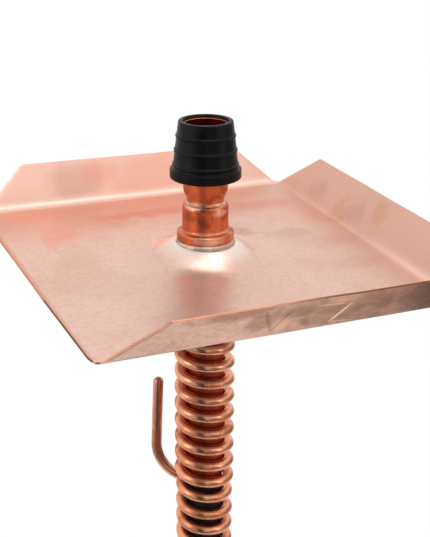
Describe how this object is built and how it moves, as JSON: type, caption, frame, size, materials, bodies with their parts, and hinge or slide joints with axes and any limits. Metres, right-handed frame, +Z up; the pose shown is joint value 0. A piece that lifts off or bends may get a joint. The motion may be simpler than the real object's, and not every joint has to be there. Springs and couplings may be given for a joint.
{
  "type": "hookah stem",
  "caption": "Copper hookah stem with a square ash tray round it, a rod-wound handle with a tongs hook, and a ribbed rubber grommet that seats the bowl.",
  "frame": {"origin": "on the stem's axis in the plane of the vessel's mouth, under the rim of the base stopper", "axes": "+Z up the stem towards the bowl, +X and +Y along the sides of the ash tray, the tongs hook behind the stem at +Y"},
  "size_m": [0.2289, 0.2286, 0.3915],
  "materials": {
    "rubber": "satin black rubber",
    "fitting_copper": "heat-stained copper, patchy deep orange-brown, semi-gloss",
    "solder": "dull tin solder",
    "sheet_copper": "burnished pale copper sheet with faint swirls and clouds",
    "tube_copper": "drawn copper tube, smooth",
    "rod_copper": "drawn copper rod, smooth, slightly tarnished",
    "black_tube": "black tube, semi-gloss"
  },
  "bodies": {
    "stem": {"bowl_adapter": "fitting_copper", "neck_solder": "solder", "press_coupling": "fitting_copper", "coupling_o_ring": "rubber", "tray_solder": "solder", "ash_tray": "sheet_copper", "stem_tube": "tube_copper", "upper_winding": "rod_copper", "tongs_hook": "rod_copper", "lower_tube": "black_tube", "lower_winding": "rod_copper", "base_stopper": "rubber", "dip_tube": "tube_copper"},
    "grommet": {"bowl_grommet": "rubber"}
  },
  "joints": [
    {"name": "grommet_pull", "type": "slide", "parent": "stem", "child": "grommet", "axis": [0, 0, 1], "range_m": [0, 0.036]}
  ]
}
